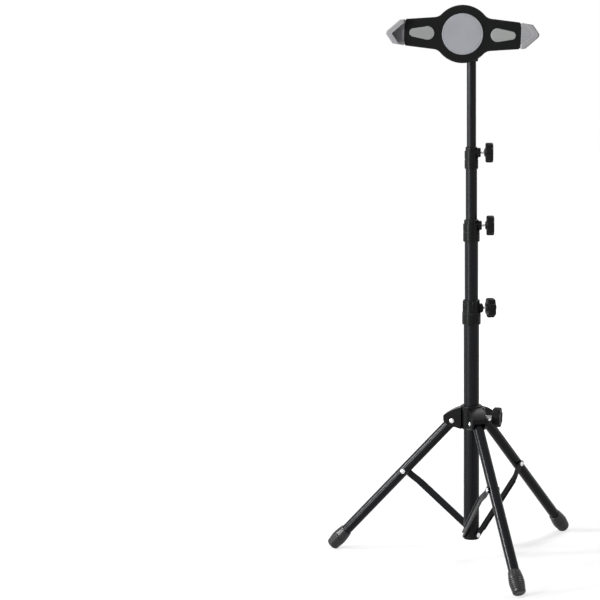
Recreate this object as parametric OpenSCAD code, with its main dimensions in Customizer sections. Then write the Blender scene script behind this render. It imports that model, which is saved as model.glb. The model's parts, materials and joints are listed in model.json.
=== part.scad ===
// Adjustable floor stand for a tablet: folding tripod, telescoping mast, tilting head, sprung corner grips.
// Millimetres. Origin on the floor under the mast, +Z up, the holder faces -Y.

/* [Tripod] */
// Direction of the front leg about the mast, from +X
tripod_turn = -72; // [-90:1:-50]
// Angle of an opened leg from the vertical
leg_angle = 43; // [41:0.5:46]
// Outer diameter of a leg tube
leg_d = 15; // [13:0.5:16]
// Wall of a leg tube
leg_wall = 1.2; // [0.8:0.1:2]
// Distance of the leg pins from the mast axis
pivot_r = 26; // [25:0.5:30]
// Height of the leg pins
pivot_z = 198; // [188:1:208]
// Distance along a leg from its pin to the brace rivet
brace_on_leg = 106; // [99:1:113]
// Height of the rivets that hold the braces to the base tube
brace_base_z = 34; // [32:1:40]
// Width of a brace strap
strap_w = 10; // [8:0.5:12]
// Sheet thickness of a brace strap
strap_t = 1.4; // [1:0.1:2]
// Height of the turned edges of a brace strap
strap_lip = 1.4; // [1:0.1:3.5]
// Largest diameter of a foot
foot_d = 21.5; // [20:0.5:26]
// Length of a foot
foot_len = 33; // [30:1:44]
// Diameter of a foot where its end rounding starts
foot_end_d = 18.4; // [17:0.2:19.8]
// Rounding of the end of a foot
foot_edge = 3.5; // [2.5:0.5:4.5]
// Ring ribs round a foot
foot_ribs = 5; // [3:1:6]
// Distance from one rib of a foot to the next
rib_pitch = 2.9; // [2.6:0.1:3]
// Depth of the grooves between the ribs
rib_depth = 0.5; // [0.3:0.05:0.7]

/* [Hub] */
// Width of a hood over a leg
hood_w = 22; // [21:0.5:26]
// Reach of a hood beyond its leg pin
hood_reach = 12.5; // [11.5:0.5:15]
// Radius of the hub's sleeve
hub_r = 14; // [13:0.5:14.5]
// Height of the hub
hub_h = 33.5; // [32.5:0.5:36]
// Drop of the hub's lower end below the leg pins
hub_drop = 11.5; // [11:0.5:12.5]
// Fall of a hood's roof from the sleeve to its end
hood_fall = 11.6; // [11:0.2:12]
// Rise of a hood's roof above a straight fall
hood_rise = 1.4; // [0.6:0.1:1.8]
// Wall of a hood over the leg's end
hood_wall = 2.6; // [2:0.1:3]
// Radius of the hub's clamp boss
hub_boss_r = 7; // [6.5:0.25:7.5]
// Diameter of a leg pin
pin_d = 5; // [4:0.5:6]

/* [Mast] */
// Outer diameter of the base tube
base_tube_d = 22; // [21.5:0.1:22.5]
// Outer diameter of the second tube
tube_2_d = 19; // [18.7:0.1:19.3]
// Outer diameter of the third tube
tube_3_d = 16; // [15.7:0.1:16.3]
// Outer diameter of the top tube
top_tube_d = 13; // [12.7:0.1:13.3]
// Wall of the mast tubes
tube_wall = 1; // [0.9:0.05:1.1]
// Height of the lower end of the base tube
base_tube_z = 28.5; // [26.5:0.5:29.5]
// Flange of the base plug under the base tube
plug_flange = 1.4; // [1.2:0.1:2.4]
// Height of the lower end of the lower collar
collar_lower_z = 335; // [325:0.5:345]
// Height of the lower end of the middle collar
collar_middle_z = 451.5; // [445:0.5:460]
// Height of the lower end of the upper collar
collar_upper_z = 553; // [545:0.5:562]
// Length of the lower collar
collar_lower_h = 35; // [33:0.5:38]
// Length of the middle and upper collars
collar_h = 31; // [29.5:0.5:34]
// Wall of the lower and middle collars
collar_wall = 2.2; // [2:0.1:3]
// Wall of the upper collar
collar_upper_wall = 1.6; // [1.5:0.1:2.4]
// Length of the lower collar's narrow upper half
collar_lower_neck = 17; // [14:0.5:18]
// Ribs round the lower collar's narrow half
collar_ribs = 16; // [10:1:20]
// Length of the narrow rim on the middle and upper collars
collar_neck = 5.5; // [4:0.5:8]
// Turn of the lower clamp knob about the mast
lower_knob_turn = 14; // [0:1:30]

/* [Knobs] */
// Diameter of a clamp knob
knob_d = 28; // [24:0.5:30]
// Thickness of a clamp knob
knob_h = 11.2; // [10:0.2:14]
// Lobes of a clamp knob
knob_lobes = 7; // [5:1:9]
// Diameter of a clamp screw
screw_d = 4; // [3.5:0.5:5]
// Length of bare screw between a boss and its knob
screw_bare = 6; // [4:0.5:8]

/* [Rivets] */
// Diameter of the brace rivets
rivet_d = 3.5; // [3:0.5:5]
// Diameter of a rivet head
rivet_head_d = 6.8; // [6.4:0.2:9]
// Height of a rivet head
rivet_head_h = 1.5; // [1:0.1:2]

/* [Head] */
// Height of the tilt axis
head_z = 739.5; // [732:0.5:750]
// Sideways offset of the holder's centre from the mast
holder_x = -12; // [-13:0.5:-11.5]
// Radius of the knuckle round the tilt bolt
knuckle_r = 8.5; // [8:0.25:9]
// Depth from the tilt axis to the back of the turntable plate
plate_back = 16.5; // [15.5:0.5:18]
// Thickness of the turntable plate
plate_t = 3.5; // [3:0.25:4]
// Radius of the turntable plate
plate_r = 31; // [28:0.5:31.5]

/* [Holder] */
// Turn of the holder as it was left, clockwise from the front
holder_roll = 2.2; // [-5:0.1:5]
// Diameter of the round middle of the case
disc_d = 79; // [78:0.5:83]
// Length of the case
bar_len = 158; // [155:0.5:166]
// Width of the case at its ends
bar_end_w = 36; // [35.5:0.5:39]
// Width of the case beside the round middle
bar_root_w = 43.5; // [43:0.5:46]
// Hollow rounding between the bar and the round middle
bar_fillet = 15; // [12:0.5:18]
// Wall of the case
case_wall = 2; // [1.6:0.1:2]
// Depth of the back half of the case
case_back_t = 6.6; // [6.6:0.1:7.2]
// Depth of the front half of the case
case_front_t = 6.1; // [6:0.1:6.6]
// Diameter of the round pad
pad_d = 56; // [54:0.2:62]
// Height of the pads above the case
pad_rise = 1.5; // [0.8:0.1:2]
// Distance from the end of the case to the middle of a drop pad's narrow end
drop_inset = 12.1; // [10:0.1:14]
// Length of a drop pad between the middles of its two ends
drop_len = 19.3; // [17:0.1:21]
// Radius of a drop pad's wide end
drop_wide = 9.2; // [8:0.1:10]
// Radius of a drop pad's narrow end
drop_narrow = 5.6; // [5:0.1:6.5]
// Width of a sliding arm
arm_w = 24; // [22:0.5:24.5]
// Thickness of a sliding arm
arm_t = 5; // [4:0.1:5]
// Reach of the grips' outer corner from the holder's centre
grip_reach = 105.4; // [103:0.2:108]
// Opening angle of a grip's corner
grip_v = 96; // [92:1:104]
// Turn of a grip's corner from the bar
grip_tilt = 5.5; // [4:0.5:10]
// Wall of a grip
grip_wall = 3; // [2.5:0.1:3.5]
// Width of a grip's front lip
grip_lip = 7; // [6:0.1:8]
// Depth of the space under a grip's lip
grip_pocket = 9.4; // [8:0.1:12]

/* [Clearances] */
// Gap round a pin or tube that turns or slides
running_gap = 0.08; // [0.05:0.01:0.1]
// Gap round a seated piece
seat_gap = 0.04; // [0.02:0.01:0.08]
// Gap between faces that pass each other
side_gap = 0.4; // [0.3:0.05:0.5]
// Gap round the base rivets in the braces
loose_gap = 0.6; // [0.5:0.05:0.7]
// Gap between the hub and the base tube
hub_gap = 0.45; // [0.4:0.01:0.5]
// Overcut of a hollow rounding, so that it crosses the edges that it blends
overcut = 0.03; // [0.02:0.01:0.06]

/* [Hidden] */
$fn = 64;
black = [0.05, 0.05, 0.055];
satin_black = [0.08, 0.08, 0.085];
grey = [0.62, 0.63, 0.64];
silver = [0.78, 0.78, 0.8];
brass = [0.72, 0.58, 0.3];

base_r = base_tube_d / 2;
leg_r = leg_d / 2;
foot_r = foot_d / 2;
foot_bore = leg_r + seat_gap;
foot_mouth_r = foot_bore + 1.1;
foot_belly = 0.55 * foot_len;
foot_end_r = foot_end_d / 2;
foot_arc_r = foot_end_r - foot_edge;
foot_flat = 0.5;
foot_center = (pivot_z + foot_flat - foot_edge - foot_arc_r * sin(leg_angle)) / cos(leg_angle);
foot_end = foot_center + foot_edge;
foot_spread = pivot_r + foot_end * sin(leg_angle) + foot_r;
ribs_middle = 0.6 * foot_len;
leg_end = foot_end - 2 * foot_edge - 0.2;
leg_top = 5;

rivet_on_leg_r = pivot_r + brace_on_leg * sin(leg_angle);
rivet_on_leg_z = pivot_z - brace_on_leg * cos(leg_angle);
brace_len = norm([rivet_on_leg_r, rivet_on_leg_z - brace_base_z]);
brace_angle = atan2(rivet_on_leg_r, rivet_on_leg_z - brace_base_z);
strap_at_tube = base_r + side_gap;
strap_at_leg = leg_r + side_gap;

hub_bottom = pivot_z - hub_drop;
hub_top = hub_bottom + hub_h;
hub_screw_z = pivot_z + 6;
hood_end = pivot_r + hood_reach;
hood_cavity = leg_d + 2 * side_gap;
hood_root = (base_r + hub_gap + hub_r) / 2;
hood_tip = hood_end - 1.2;
hood_crest = hub_top - 2;
hood_slope = hood_fall / (hood_tip - hood_root);
stop_z = pivot_z + 1.4;
boss_end = hub_r + 6;
through = 2 * hood_end;
hub_turn = tripod_turn + 60;
nut_seat = boss_end - 4.6;
hub_knob_r = boss_end + screw_bare + 5.5;

collar_screw_lower = collar_lower_h - 12.5;
collar_screw = collar_h - 8.2;
collar_grip = 17;
bush_h = 8;
spigot_h = 10;
plug_top = base_tube_z + 24;
base_tube_top = collar_lower_z + collar_lower_h - collar_grip;
tube_2_top = collar_middle_z + collar_h - collar_grip;
tube_3_top = collar_upper_z + collar_h - collar_grip;
drop_2 = collar_middle_z - collar_lower_z - collar_lower_h - 1.5;
drop_3 = collar_upper_z - collar_middle_z - collar_h - 2;
stem_bottom = head_z - 38;
drop_top = stem_bottom - collar_upper_z - collar_h - 9;
tube_2_z = plug_top + 3 + bush_h + drop_2;
tube_3_z = tube_2_z + spigot_h + 3 + bush_h + drop_3;
top_tube_z = tube_3_z + spigot_h + 3 + bush_h + drop_top;
top_tube_top = stem_bottom + 19.6;

stem_r = 9.2;
eye_half = 5.6;
neck_r = eye_half - 0.1;
bolt_d = 5;
swivel_d = 6;
knuckle_in = -eye_half - 0.9;
knuckle_out = 2 * holder_x - knuckle_in;
plate_front = plate_back + plate_t;
case_back = plate_front + 0.9;
case_split = case_back + case_back_t;
case_front = case_split + case_front_t;
inner_back = case_back + 2.2;
inner_front = case_front - 2.5;
pad_front = case_front + pad_rise;
arm_back = (inner_back + inner_front - arm_t) / 2;
arm_front = arm_back + arm_t;
arm_in = 12;
spring_y = arm_w / 2 + 2.8;
spring_post_x = 55;
case_end = bar_len / 2;
drop_far = case_end - drop_inset;
drop_near = drop_far - drop_len;
grip_base = case_end + side_gap;
grip_floor = pad_front - 0.5;
grip_front = grip_floor + grip_pocket + 2.5;
grip_half_w = bar_end_w / 2 - 0.3;
grip_narrowing = 0.14;
half_v = grip_v / 2;
post_x = 22;
post_y = 27;

// A bore or ring cut along local Z.
module ring(outer_r, inner_r, z_low, z_high) {
  difference() {
    translate([0, 0, z_low]) cylinder(r = outer_r, h = z_high - z_low);
    translate([0, 0, z_low - 1]) cylinder(r = inner_r, h = z_high - z_low + 2);
  }
}

// A leg's own frame: local X points out from the mast, local -Y is its clockwise side.
module at_leg(i) {
  rotate([0, 0, tripod_turn + 120 * i]) children();
}

// Local Z runs down the leg from its pin.
module along_leg(i) {
  at_leg(i) translate([pivot_r, 0, pivot_z]) rotate([0, 180 - leg_angle, 0]) children();
}

// Local Z points to the clockwise side of leg i, through a point at radius r and height z.
module across_leg(i, r, z) {
  at_leg(i) translate([r, 0, z]) rotate([90, 0, 0]) children();
}

// A brace's frame: local X runs from its base rivet to its leg rivet, local Z to the clockwise side.
module on_brace(i) {
  across_leg(i, 0, brace_base_z) rotate([0, 0, 90 - brace_angle]) children();
}

// Local Z points out from the mast axis along a clamp screw.
module on_screw(z, turn) {
  translate([0, 0, z]) rotate([0, 0, turn]) rotate([0, 90, 0]) children();
}

// The holder's frame: local X along the bar, local Y up, local Z towards the front.
module on_holder() {
  translate([holder_x, 0, head_z]) rotate([0, holder_roll, 0]) rotate([90, 0, 0]) children();
}

// The same for what doesn't turn with the holder.
module on_bracket() {
  translate([holder_x, 0, head_z]) rotate([90, 0, 0]) children();
}

// A rivet head that starts at z and rises in the direction of way.
module rivet_head(z, way, d) {
  translate([0, 0, z]) rotate([way > 0 ? 0 : 180, 0, 0]) rotate_extrude() difference() {
    polygon([
      [0, 0],
      [d / 2, 0],
      [d / 2, rivet_head_h * 0.35],
      [d * 0.34, rivet_head_h],
      [0, rivet_head_h]
    ]);
    translate([0, rivet_head_h + 0.5]) circle(r = 1.1);
  }
}

module leg(i) {
  color(satin_black) difference() {
    along_leg(i) ring(leg_r, leg_r - leg_wall, -leg_top, leg_end);
    across_leg(i, pivot_r, pivot_z) cylinder(r = pin_d / 2 + running_gap, h = 40, center = true);
    across_leg(i, rivet_on_leg_r, rivet_on_leg_z) cylinder(r = rivet_d / 2 + seat_gap, h = 40, center = true);
  }
}

// Radius of a foot at a distance from its mouth: it swells to its belly and narrows again to its end.
function foot_wall(s) =
  s < foot_belly
    ? foot_mouth_r + (foot_r - foot_mouth_r) * sin(90 * s / foot_belly)
    : foot_r + (foot_end_r - foot_r) * (s - foot_belly) / (foot_len - foot_edge - foot_belly);

// A hollow rubber bulb with ring ribs: it narrows to the tube and is worn flat where it stands.
module foot(i) {
  start = foot_end - foot_len;
  steps = 6;
  color(black) difference() {
    along_leg(i) rotate_extrude() difference() {
      union() {
        polygon(concat(
          [[foot_bore, start], [foot_mouth_r - 0.5, start]],
          [for (k = [0 : steps]) [foot_wall(foot_belly * k / steps), start + 0.5 + (foot_belly - 0.5) * k / steps]],
          [
            [foot_end_r, foot_center],
            [foot_arc_r, foot_center],
            [foot_arc_r, foot_end],
            [0, foot_end],
            [0, leg_end + 0.2],
            [foot_bore, leg_end + 0.2]
          ]
        ));
        translate([foot_arc_r, foot_center]) circle(r = foot_edge);
      }
      for (k = [0 : foot_ribs]) {
        s = ribs_middle + (k - foot_ribs / 2) * rib_pitch;
        translate([foot_wall(s) + 0.3, start + s]) circle(r = rib_depth + 0.3, $fn = 24);
      }
    }
    translate([0, 0, -foot_len]) cylinder(r = 2 * foot_spread, h = foot_len);
  }
}

// A channel strap, joggled inwards at its upper end to lie against the leg. Its turned edges run out in slopes.
module brace(i) {
  bend_low = brace_len - 24;
  bend_high = brace_len - 12;
  lip_from = strap_w / 2 + 5;
  lip_to = bend_low - 1;
  color(satin_black) on_brace(i) difference() {
    union() {
      intersection() {
        rotate([90, 0, 0]) translate([0, 0, -strap_w]) linear_extrude(2 * strap_w) polygon([
          [-strap_w, strap_at_tube],
          [bend_low, strap_at_tube],
          [bend_high, strap_at_leg],
          [brace_len + strap_w, strap_at_leg],
          [brace_len + strap_w, strap_at_leg + strap_t],
          [bend_high, strap_at_leg + strap_t],
          [bend_low, strap_at_tube + strap_t],
          [-strap_w, strap_at_tube + strap_t]
        ]);
        linear_extrude(40) union() {
          circle(d = strap_w);
          translate([0, -strap_w / 2]) square([brace_len, strap_w]);
          translate([brace_len, 0]) circle(d = strap_w);
        }
      }
      for (side = [-1, 1]) {
        translate([0, side * (strap_w - strap_t) / 2 + strap_t / 2, strap_at_tube + strap_t / 2])
          rotate([90, 0, 0]) linear_extrude(strap_t) polygon([
            [lip_from, 0],
            [lip_from + 3 * strap_lip, strap_t / 2 + strap_lip],
            [lip_to - 3 * strap_lip, strap_t / 2 + strap_lip],
            [lip_to, 0]
          ]);
      }
    }
    cylinder(r = rivet_d / 2 + loose_gap, h = 40);
    translate([brace_len, 0, 0]) cylinder(r = rivet_d / 2 + running_gap, h = 40);
  }
}

module brace_rivet(i) {
  head_z_out = strap_at_leg + strap_t + side_gap / 2;
  color(silver) across_leg(i, rivet_on_leg_r, rivet_on_leg_z) union() {
    translate([0, 0, -leg_r - 0.1]) cylinder(d = rivet_d, h = leg_r + 0.2 + head_z_out);
    rivet_head(head_z_out, 1, rivet_head_d);
    rivet_head(-leg_r - 0.02, -1, rivet_head_d);
  }
}

module leg_front() leg(0);
module leg_right() leg(1);
module leg_left() leg(2);
module foot_front() foot(0);
module foot_right() foot(1);
module foot_left() foot(2);
module brace_front() brace(0);
module brace_right() brace(1);
module brace_left() brace(2);
module brace_rivet_front() brace_rivet(0);
module brace_rivet_right() brace_rivet(1);
module brace_rivet_left() brace_rivet(2);

// A point of a hood's crowned roof, from the sleeve at 0 to its tip at 1.
function hood_top(t) = [
  hood_root + (hood_tip - hood_root) * t,
  hood_crest - hood_fall * t + 4 * hood_rise * t * (1 - t)
];

// Moulded runner: a sleeve with three hoods, each a channel that is open below, and a clamp boss.
module hub() {
  color(black) difference() {
    union() {
      translate([0, 0, hub_bottom]) cylinder(r = hub_r, h = hub_top - hub_bottom);
      translate([0, 0, hub_top - 5.8]) cylinder(r = hub_r + 1.4, h = 4.6);
      translate([0, 0, hub_top - 1.2]) cylinder(r1 = hub_r + 1.4, r2 = hub_r + 0.4, h = 1.2);
      for (i = [0 : 2]) {
        at_leg(i) translate([0, hood_w / 2, 0]) rotate([90, 0, 0]) linear_extrude(hood_w) polygon(concat(
          [
            [hood_root, hub_bottom],
            [pivot_r - 4.5, hub_bottom + 2.5],
            [pivot_r + 4, hub_bottom + 3],
            [hood_end - 1.5, pivot_z - 3],
            [hood_end, pivot_z + 1],
            [hood_end, hood_crest - hood_fall - 1.4]
          ],
          [for (k = [4 : -1 : 0]) hood_top(k / 4)]
        ));
      }
      on_screw(hub_screw_z, hub_turn) cylinder(r = hub_boss_r, h = boss_end);
      rotate([0, 0, hub_turn]) translate([0, -hub_boss_r + 2, hub_screw_z])
        cube([boss_end - 1, 2 * hub_boss_r - 4, hub_top - 3 - hub_screw_z]);
    }
    translate([0, 0, hub_bottom - 1]) cylinder(r = base_r + hub_gap, h = hub_top - hub_bottom + 2);
    for (i = [0 : 2]) {
      at_leg(i) translate([0, hood_cavity / 2, 0]) rotate([90, 0, 0]) linear_extrude(hood_cavity) polygon([
        [hub_r + 1.2, hub_bottom - 5],
        [hub_r + 1.2, hood_crest - hood_wall - (hub_r + 1.2 - hood_root) * hood_slope],
        [hood_end - hood_wall, hood_crest - hood_wall - (hood_end - hood_wall - hood_root) * hood_slope],
        [hood_end - hood_wall, stop_z],
        [hood_end + 10, stop_z],
        [hood_end + 10, hub_bottom - 5]
      ]);
      across_leg(i, pivot_r, pivot_z) cylinder(r = pin_d / 2 + seat_gap, h = through, center = true);
    }
    on_screw(hub_screw_z, hub_turn) union() {
      cylinder(r = screw_d / 2 + running_gap, h = boss_end + 1);
      translate([0, 0, nut_seat - seat_gap]) cylinder(d = 9.2 + 2 * seat_gap, h = 3.6 + 2 * seat_gap, $fn = 6);
    }
  }
}

module hub_rivets() {
  color(silver) for (i = [0 : 2]) {
    across_leg(i, pivot_r, pivot_z) union() {
      cylinder(d = pin_d, h = hood_w + 0.2, center = true);
      rivet_head(hood_w / 2 + 0.02, 1, rivet_head_d);
      rivet_head(-hood_w / 2 - 0.02, -1, rivet_head_d);
    }
  }
}

// A captive hex nut round a clamp screw, at distance r from the mast axis.
module captive_nut(z, turn, r) {
  color(brass) on_screw(z, turn) difference() {
    translate([0, 0, r]) cylinder(d = 9.2, h = 3.6, $fn = 6);
    translate([0, 0, r - 1]) cylinder(r = screw_d / 2 + running_gap, h = 6);
  }
}

// A lobed knob: scalloped rim, ring groove and low dome. Its inner face is at distance r.
module clamp_knob(z, turn, r) {
  rim = knob_d / 2;
  color(black) on_screw(z, turn) translate([0, 0, r]) difference() {
    union() {
      difference() {
        rotate_extrude() polygon([
          [0, 0],
          [rim * 0.62, 0],
          [rim - 1.6, 0.8],
          [rim, 2.4],
          [rim, knob_h - 2.4],
          [rim - 1.8, knob_h - 0.4],
          [rim * 0.55, knob_h],
          [rim * 0.42, knob_h - 1.2],
          [0, knob_h - 1.6]
        ]);
        for (i = [0 : knob_lobes - 1]) {
          rotate([0, 0, (i + 0.5) * 360 / knob_lobes]) translate([rim * 1.17, 0, -1])
            cylinder(r = rim * 0.32, h = knob_h + 2);
        }
      }
      translate([0, 0, -1.6]) cylinder(r1 = rim * 0.36, r2 = rim * 0.46, h = 2);
    }
    translate([0, 0, -3]) cylinder(r = screw_d / 2 + seat_gap, h = 10 + seat_gap);
  }
}

// A clamp screw from its tip to its end inside the knob, with a few plain turns of relief.
module clamp_screw(z, turn, tip, r) {
  color(silver) on_screw(z, turn) union() {
    translate([0, 0, tip]) cylinder(r1 = screw_d / 2 - 0.8, r2 = screw_d / 2, h = 0.8);
    translate([0, 0, tip + 0.8]) cylinder(d = screw_d, h = r + 7 - tip - 0.8);
  }
}

module hub_nut() captive_nut(hub_screw_z, hub_turn, nut_seat);
module hub_knob() clamp_knob(hub_screw_z, hub_turn, hub_knob_r);
module hub_screw() clamp_screw(hub_screw_z, hub_turn, base_r + hub_gap, hub_knob_r);

module base_tube() {
  color(satin_black) difference() {
    ring(base_r, base_r - tube_wall, base_tube_z, base_tube_top);
    for (i = [0 : 2]) {
      across_leg(i, 0, brace_base_z) cylinder(r = rivet_d / 2 + seat_gap, h = base_r + 2);
    }
  }
}

module base_plug() {
  color(black) difference() {
    union() {
      translate([0, 0, base_tube_z]) cylinder(r = base_r - tube_wall - seat_gap, h = plug_top - base_tube_z);
      translate([0, 0, base_tube_z - plug_flange]) cylinder(r1 = base_r - 0.5, r2 = base_r + 0.2, h = 0.7);
      translate([0, 0, base_tube_z - plug_flange + 0.7]) cylinder(r = base_r + 0.2, h = plug_flange - 0.75);
      translate([0, 0, base_tube_z - 0.5]) cylinder(r = base_r - 2, h = 1);
    }
    for (i = [0 : 2]) {
      across_leg(i, 0, brace_base_z) translate([0, 0, 5 - seat_gap]) cylinder(r = rivet_d / 2 + seat_gap, h = base_r);
    }
    translate([0, 0, brace_base_z + 4]) cylinder(r = base_r - tube_wall - 2.2, h = 40);
  }
}

module base_rivets() {
  head = strap_at_tube + strap_t + side_gap;
  color(silver) for (i = [0 : 2]) {
    across_leg(i, 0, brace_base_z) union() {
      translate([0, 0, 5]) cylinder(d = rivet_d, h = head - 4.9);
      rivet_head(head, 1, rivet_head_d);
    }
  }
}

// A collar: it sits on the end of the outer tube, and its screw, at height screw_z, bears on the inner one.
module collar(z, h, neck, wall, screw_z, outer_d, inner_d, turn) {
  r = outer_d / 2 + wall;
  boss = outer_d / 2 + 5;
  seam = 0.42 * h;
  color(black) difference() {
    union() {
      translate([0, 0, z]) rotate_extrude() polygon([
        [0, 0],
        [r - 0.9, 0],
        [r, 0.9],
        [r, seam],
        [r - 0.4, seam + 0.3],
        [r - 0.4, seam + 0.8],
        [r, seam + 1.1],
        [r, h - neck - 0.9],
        [r - 0.9, h - neck],
        [r - 1.3, h - neck],
        [r - 1.3, h - 1.2],
        [r - 2.2, h],
        [0, h]
      ]);
      on_screw(z + screw_z, turn) union() {
        cylinder(r = 6.6, h = boss - 0.8);
        translate([0, 0, boss - 0.8]) cylinder(r1 = 6.6, r2 = 5.8, h = 0.8);
      }
    }
    translate([0, 0, z - 1]) cylinder(r = outer_d / 2 + seat_gap, h = h - collar_grip + 1 + seat_gap);
    translate([0, 0, z]) cylinder(r = inner_d / 2 + running_gap, h = h + 1);
    on_screw(z + screw_z, turn) union() {
      cylinder(r = screw_d / 2 + running_gap, h = boss + 1);
      translate([0, 0, boss - 4.4 - seat_gap]) cylinder(d = 9.2 + 2 * seat_gap, h = 3.6 + 2 * seat_gap, $fn = 6);
    }
  }
}

module collar_nut(z, outer_d, turn) captive_nut(z, turn, outer_d / 2 + 0.6);
module collar_knob(z, outer_d, turn) clamp_knob(z, turn, outer_d / 2 + 5.2 + screw_bare);
module collar_clamp_screw(z, outer_d, inner_d, turn) {
  clamp_screw(z, turn, inner_d / 2 + 0.15, outer_d / 2 + 5.2 + screw_bare);
}

screw_lower_z = collar_lower_z + collar_screw_lower;
screw_middle_z = collar_middle_z + collar_screw;
screw_upper_z = collar_upper_z + collar_screw;

// The lower collar's narrow half is ribbed.
module collar_lower() {
  r = base_r + collar_wall - 1.3;
  collar(collar_lower_z, collar_lower_h, collar_lower_neck, collar_wall, collar_screw_lower,
    base_tube_d, tube_2_d, lower_knob_turn);
  color(black) translate([0, 0, collar_lower_z + collar_lower_h - collar_lower_neck - 0.5]) {
    for (i = [0 : collar_ribs - 1]) {
      turn = (i + 0.5) * 360 / collar_ribs;
      if (cos(turn - lower_knob_turn) < 0.8) {
        rotate([0, 0, turn]) translate([r - 0.4, -0.8, 0]) cube([1, 1.6, collar_lower_neck - 2]);
      }
    }
  }
}
module collar_middle() {
  collar(collar_middle_z, collar_h, collar_neck, collar_wall, collar_screw, tube_2_d, tube_3_d, 0);
}
module collar_upper() {
  collar(collar_upper_z, collar_h, collar_neck, collar_upper_wall, collar_screw, tube_3_d, top_tube_d, 0);
}
module nut_lower() collar_nut(screw_lower_z, base_tube_d, lower_knob_turn);
module nut_middle() collar_nut(screw_middle_z, tube_2_d, 0);
module nut_upper() collar_nut(screw_upper_z, tube_3_d, 0);
module knob_lower() collar_knob(screw_lower_z, base_tube_d, lower_knob_turn);
module knob_middle() collar_knob(screw_middle_z, tube_2_d, 0);
module knob_upper() collar_knob(screw_upper_z, tube_3_d, 0);
module screw_lower() collar_clamp_screw(screw_lower_z, base_tube_d, tube_2_d, lower_knob_turn);
module screw_middle() collar_clamp_screw(screw_middle_z, tube_2_d, tube_3_d, 0);
module screw_upper() collar_clamp_screw(screw_upper_z, tube_3_d, top_tube_d, 0);

// A plastic bush in the lower end of a tube: its skirt runs in the tube outside, its spigot holds it.
module guide(z, d, outer_d) {
  spigot = d / 2 - tube_wall - seat_gap;
  color(grey) difference() {
    union() {
      translate([0, 0, z - bush_h]) cylinder(r = outer_d / 2 - tube_wall - running_gap, h = bush_h - 0.02);
      translate([0, 0, z - 1]) cylinder(r = spigot, h = spigot_h + 1);
    }
    translate([0, 0, z - bush_h - 1]) cylinder(r = spigot - 1.5, h = bush_h + spigot_h + 2);
  }
}

module mast_tube_2() color(satin_black) ring(tube_2_d / 2, tube_2_d / 2 - tube_wall, tube_2_z, tube_2_top);
module mast_tube_3() color(satin_black) ring(tube_3_d / 2, tube_3_d / 2 - tube_wall, tube_3_z, tube_3_top);
module top_tube() color(satin_black) ring(top_tube_d / 2, top_tube_d / 2 - tube_wall, top_tube_z, top_tube_top);
module guide_2() guide(tube_2_z, tube_2_d, base_tube_d);
module guide_3() guide(tube_3_z, tube_3_d, tube_2_d);
module guide_top() guide(top_tube_z, top_tube_d, tube_3_d);

// A sleeve that turns on the top tube, a neck and a cross-drilled eye for the tilt bolt.
module head_stem() {
  color(black) difference() {
    union() {
      rotate_extrude() polygon([
        [0, stem_bottom],
        [stem_r - 0.6, stem_bottom],
        [stem_r, stem_bottom + 0.6],
        [stem_r, stem_bottom + 5],
        [stem_r - 1, stem_bottom + 6],
        [stem_r - 1, stem_bottom + 21],
        [neck_r, stem_bottom + 25],
        [neck_r, head_z],
        [0, head_z]
      ]);
      translate([-eye_half, 0, head_z]) rotate([0, 90, 0]) cylinder(r = knuckle_r, h = 2 * eye_half);
    }
    translate([0, 0, stem_bottom - 1]) cylinder(r = top_tube_d / 2 + running_gap, h = 21);
    translate([-20, 0, head_z]) rotate([0, 90, 0]) cylinder(r = bolt_d / 2 + seat_gap, h = 40);
  }
}

module tilt_bolt() {
  color(silver) translate([0, 0, head_z]) rotate([0, 90, 0]) union() {
    translate([0, 0, knuckle_out - 5]) cylinder(d = bolt_d, h = eye_half + 1 - knuckle_out + 5);
    translate([0, 0, eye_half + 0.02]) cylinder(r = 4.6, h = 1.8);
    translate([0, 0, eye_half + 1.82]) cylinder(r1 = 4.6, r2 = 3.4, h = 0.9);
  }
}

module tilt_nut() {
  color(silver) translate([0, 0, head_z]) rotate([0, 90, 0]) difference() {
    translate([0, 0, knuckle_out - 4.2]) cylinder(d = 9.2, h = 4, $fn = 6);
    translate([0, 0, knuckle_out - 6]) cylinder(r = bolt_d / 2 + seat_gap, h = 8);
  }
}

module tilt_washer() {
  color(silver) translate([0, 0, head_z]) rotate([0, 90, 0])
    ring(knuckle_r - 1.5, bolt_d / 2 + seat_gap, -eye_half - 0.72, -eye_half - 0.02);
}

// Knuckle, web and round turntable plate with two gussets.
module swivel_bracket() {
  color(black) difference() {
    union() {
      translate([knuckle_out, 0, head_z]) rotate([0, 90, 0]) cylinder(r = knuckle_r, h = knuckle_in - knuckle_out);
      translate([knuckle_out, -plate_back - 1, head_z - knuckle_r + 1])
        cube([knuckle_in - knuckle_out, plate_back + 1, 2 * knuckle_r - 2]);
      on_bracket() union() {
        translate([0, 0, plate_back + 0.8]) cylinder(r = plate_r, h = plate_t - 0.8);
        translate([0, 0, plate_back]) cylinder(r1 = plate_r - 0.8, r2 = plate_r, h = 0.8);
        for (way = [-1, 1]) {
          rotate([0, 0, way * 90]) rotate([90, 0, 0]) translate([0, 0, -2]) linear_extrude(4) polygon([
            [0, plate_back + 1],
            [0, plate_back - 9],
            [knuckle_r - 2, plate_back - 9],
            [plate_r - 8, plate_back + 1]
          ]);
        }
      }
    }
    translate([knuckle_out - 1, 0, head_z]) rotate([0, 90, 0])
      cylinder(r = bolt_d / 2 + running_gap, h = knuckle_in - knuckle_out + 2);
    on_bracket() translate([0, 0, 7 - seat_gap]) cylinder(r = swivel_d / 2 + seat_gap, h = 30);
  }
}

// The turntable's pin: pressed into the bracket, its head inside the case.
module swivel_pin() {
  color(silver) on_bracket() union() {
    translate([0, 0, 7]) cylinder(d = swivel_d, h = inner_back + 3 - 7);
    translate([0, 0, inner_back + 2.4]) cylinder(r = 7, h = 2.6);
  }
}

module swivel_ring() {
  color(grey) on_bracket() ring(plate_r - 3, 12, plate_front + 0.02, plate_front + 0.6);
}

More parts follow.
